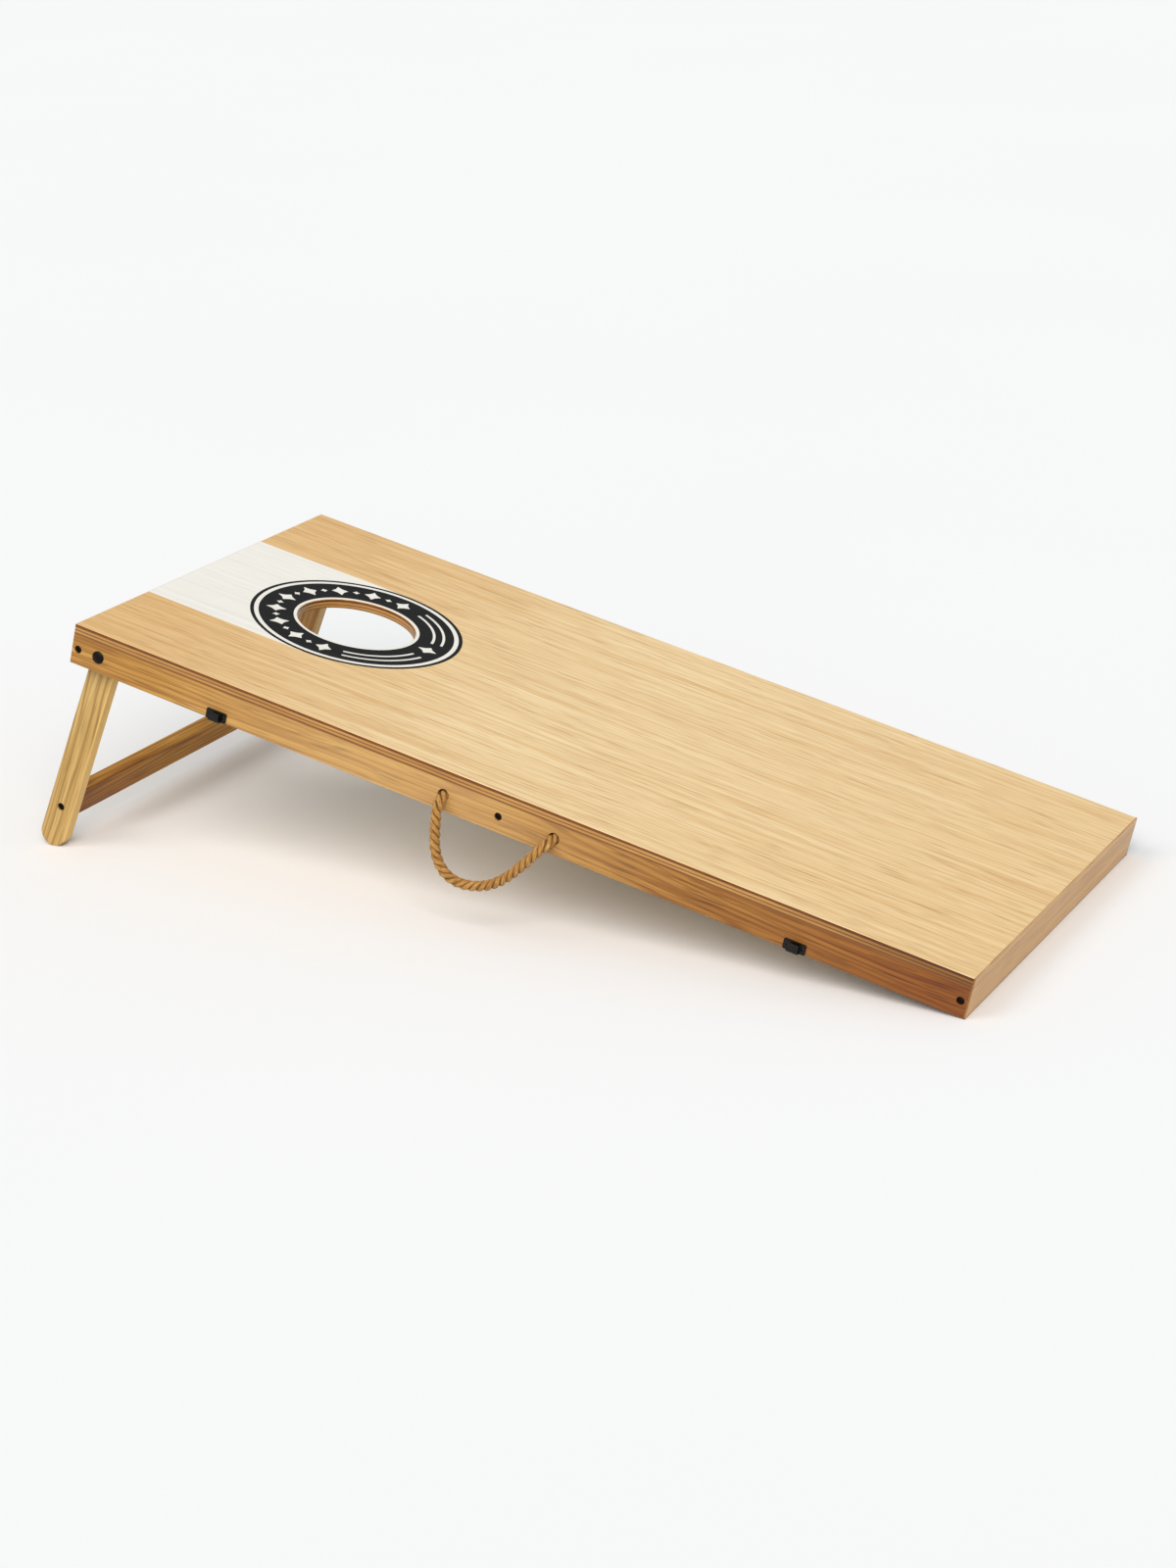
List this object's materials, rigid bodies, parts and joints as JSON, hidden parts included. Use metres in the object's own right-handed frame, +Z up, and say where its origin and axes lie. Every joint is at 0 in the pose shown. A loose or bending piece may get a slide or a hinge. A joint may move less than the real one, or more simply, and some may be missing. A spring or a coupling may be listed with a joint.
{
  "type": "cornhole board",
  "caption": "Sloping wooden target board with a round bag hole, folding rear legs joined by a stretcher, latch keepers and a knotted rope carrying handle.",
  "frame": {"origin": "on the floor, under the middle of the box around the board and its legs", "axes": "+X towards the low front end, +Z up, so -Y is the player's left, where the rope handle is"},
  "size_m": [1.251, 0.635, 0.3048],
  "materials": {
    "deck_ply": "satin varnish",
    "fascia_wood": "satin varnish",
    "rail_wood": "satin varnish",
    "leg_wood": "satin varnish",
    "black_steel": "black, satin",
    "plated_steel": "zinc plated",
    "rope_fibre": "laid natural fibre",
    "paint_black": "printed on the deck, satin",
    "paint_white": "printed on the deck, satin"
  },
  "bodies": {
    "board": {"deck_panel": "deck_ply", "front_fascia": "fascia_wood", "left_side_rail": "rail_wood", "right_side_rail": "rail_wood", "back_rail": "rail_wood", "centre_rail": "rail_wood", "front_rail": "rail_wood", "left_frame_screws": "black_steel", "right_frame_screws": "black_steel", "left_pivot_bolt": "black_steel", "right_pivot_bolt": "black_steel", "left_spacer_washer": "plated_steel", "right_spacer_washer": "plated_steel", "left_nut_washer": "plated_steel", "right_nut_washer": "plated_steel", "left_lock_nut": "plated_steel", "right_lock_nut": "plated_steel", "left_back_keeper": "black_steel", "left_front_keeper": "black_steel", "right_back_keeper": "black_steel", "right_front_keeper": "black_steel", "left_keeper_screws": "black_steel", "right_keeper_screws": "black_steel", "rope_back_end": "rope_fibre", "rope_front_end": "rope_fibre", "rope_back_knot": "rope_fibre", "rope_front_knot": "rope_fibre"},
    "legs": {"left_leg": "leg_wood", "right_leg": "leg_wood", "leg_stretcher": "leg_wood", "stretcher_screws": "black_steel"},
    "handle": {"rope_handle": "rope_fibre"}
  },
  "joints": [
    {"name": "leg_fold", "type": "hinge", "parent": "board", "child": "legs", "pos_m": [-0.51681, 0, 0.26568], "axis": [0, -1, 0], "range_deg": [0, 97.9]},
    {"name": "handle_swing", "type": "hinge", "parent": "board", "child": "handle", "pos_m": [0.03147, -0.3075, 0.14685], "axis": [-0.9773, 0, 0.2118], "range_deg": [0, 110]}
  ]
}
